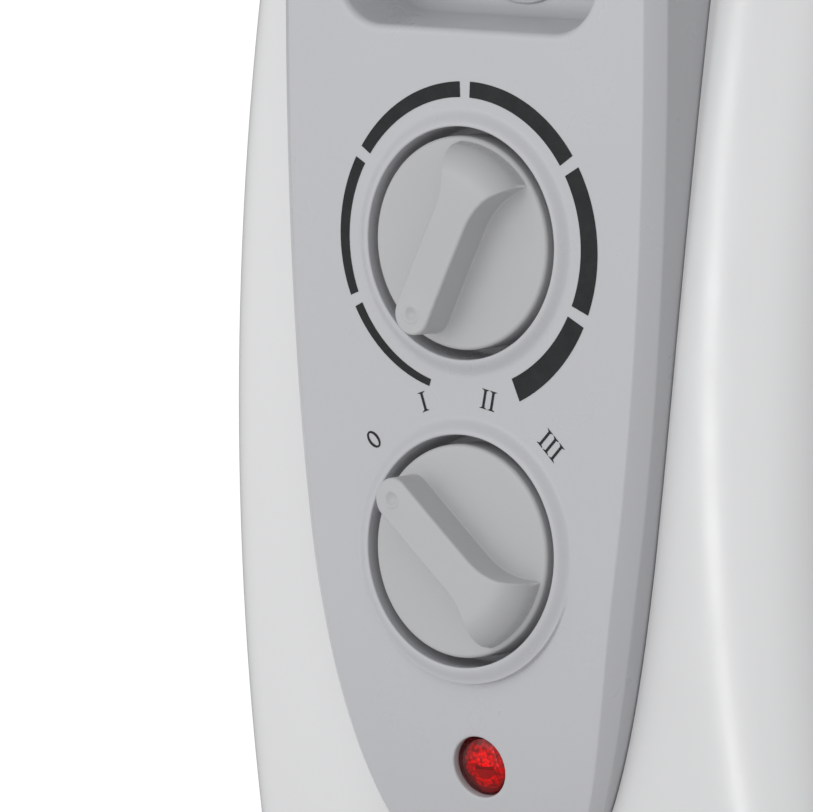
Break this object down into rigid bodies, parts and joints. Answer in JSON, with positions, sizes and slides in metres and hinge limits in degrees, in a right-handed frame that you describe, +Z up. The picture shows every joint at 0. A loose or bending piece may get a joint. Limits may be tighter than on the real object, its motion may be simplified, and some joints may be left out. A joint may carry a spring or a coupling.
{
  "type": "oil filled radiator heater",
  "caption": "Oil filled radiator heater: white finned radiator on swivel casters with a grey control panel, two pointer knobs and a red pilot lamp.",
  "frame": {"origin": "bottom centre of the bounding box, on the floor", "axes": "+Z up, the control panel faces -Y, the fins stack along +Y, +X is to the right seen from the front"},
  "size_m": [0.25, 0.4376, 0.612],
  "materials": {
    "housing": "glossy white moulding",
    "panel": "satin grey moulding",
    "knob": "satin grey moulding",
    "print": "black screen print",
    "badge": "satin grey, blank",
    "lens": "translucent red, ribbed",
    "bulb": "clear neon bulb",
    "lamp_holder": "white nylon",
    "enamel": "gloss white powder coat",
    "zinc": "zinc plated steel",
    "element": "dull sheath",
    "brass": "plain brass",
    "switch_plastic": "black thermoset",
    "ceramic": "unglazed",
    "lead": "silicone insulation",
    "trim_plastic": "dark grey moulding",
    "wrap": "satin grey moulding",
    "caster": "black nylon",
    "tread": "hard black wheel"
  },
  "bodies": {
    "heater": {"back_plate": "zinc", "caster_nuts": "zinc", "caster_stems": "zinc", "control_housing": "housing", "control_panel": "panel", "cord_gland": "trim_plastic", "cord_wrap": "wrap", "dial_scale": "print", "element_flange": "zinc", "element_leads": "lead", "fin_1": "enamel", "fin_2": "enamel", "fin_3": "enamel", "fin_4": "enamel", "fin_5": "enamel", "fin_6": "enamel", "fin_7": "enamel", "fin_8": "enamel", "fin_9": "enamel", "foot_u_bolts": "zinc", "foot_wing_nuts": "zinc", "front_foot": "enamel", "heating_element_high": "element", "heating_element_low": "element", "housing_screws": "zinc", "lower_header_necks": "enamel", "mounting_nut": "zinc", "mounting_stud_plug": "enamel", "panel_screws": "zinc", "pilot_bulb": "bulb", "pilot_holder": "lamp_holder", "pilot_lens": "lens", "pocket_badge": "badge", "rear_end_plugs": "enamel", "rear_foot": "enamel", "selector_numerals": "print", "selector_switch_body": "switch_plastic", "selector_switch_tabs": "brass", "terminal_block": "lamp_holder", "thermal_cutout": "switch_plastic", "thermostat_bimetal": "brass", "thermostat_body": "ceramic", "upper_header_necks": "enamel"},
    "thermostat_control": {"thermostat_knob": "knob", "thermostat_spindle": "brass"},
    "selector_control": {"selector_knob": "knob", "selector_spindle": "brass"},
    "swivel_front_left": {"caster_hood_front_left": "caster"},
    "wheels_front_left": {"caster_axle_front_left": "zinc", "caster_wheels_front_left": "tread"},
    "swivel_front_right": {"caster_hood_front_right": "caster"},
    "wheels_front_right": {"caster_axle_front_right": "zinc", "caster_wheels_front_right": "tread"},
    "swivel_rear_left": {"caster_hood_rear_left": "caster"},
    "wheels_rear_left": {"caster_axle_rear_left": "zinc", "caster_wheels_rear_left": "tread"},
    "swivel_rear_right": {"caster_hood_rear_right": "caster"},
    "wheels_rear_right": {"caster_axle_rear_right": "zinc", "caster_wheels_rear_right": "tread"}
  },
  "joints": [
    {"name": "thermostat_turn", "type": "hinge", "parent": "heater", "child": "thermostat_control", "pos_m": [0, -0.20925, 0.4648], "axis": [0, 1, 0], "range_deg": [0, 300]},
    {"name": "selector_turn", "type": "hinge", "parent": "heater", "child": "selector_control", "pos_m": [0, -0.20925, 0.3993], "axis": [0, 1, 0], "range_deg": [0, 95]},
    {"name": "swivel_front_left_turn", "type": "hinge", "parent": "heater", "child": "swivel_front_left", "pos_m": [-0.106, -0.07325, 0.046], "axis": [0, 0, 1], "continuous": true},
    {"name": "wheels_front_left_roll", "type": "hinge", "parent": "swivel_front_left", "child": "wheels_front_left", "pos_m": [-0.106, -0.08725, 0.02], "axis": [1, 0, 0], "continuous": true},
    {"name": "swivel_front_right_turn", "type": "hinge", "parent": "heater", "child": "swivel_front_right", "pos_m": [0.106, -0.07325, 0.046], "axis": [0, 0, 1], "continuous": true},
    {"name": "wheels_front_right_roll", "type": "hinge", "parent": "swivel_front_right", "child": "wheels_front_right", "pos_m": [0.106, -0.08725, 0.02], "axis": [1, 0, 0], "continuous": true},
    {"name": "swivel_rear_left_turn", "type": "hinge", "parent": "heater", "child": "swivel_rear_left", "pos_m": [-0.106, 0.19275, 0.046], "axis": [0, 0, 1], "continuous": true},
    {"name": "wheels_rear_left_roll", "type": "hinge", "parent": "swivel_rear_left", "child": "wheels_rear_left", "pos_m": [-0.106, 0.17875, 0.02], "axis": [1, 0, 0], "continuous": true},
    {"name": "swivel_rear_right_turn", "type": "hinge", "parent": "heater", "child": "swivel_rear_right", "pos_m": [0.106, 0.19275, 0.046], "axis": [0, 0, 1], "continuous": true},
    {"name": "wheels_rear_right_roll", "type": "hinge", "parent": "swivel_rear_right", "child": "wheels_rear_right", "pos_m": [0.106, 0.17875, 0.02], "axis": [1, 0, 0], "continuous": true}
  ]
}
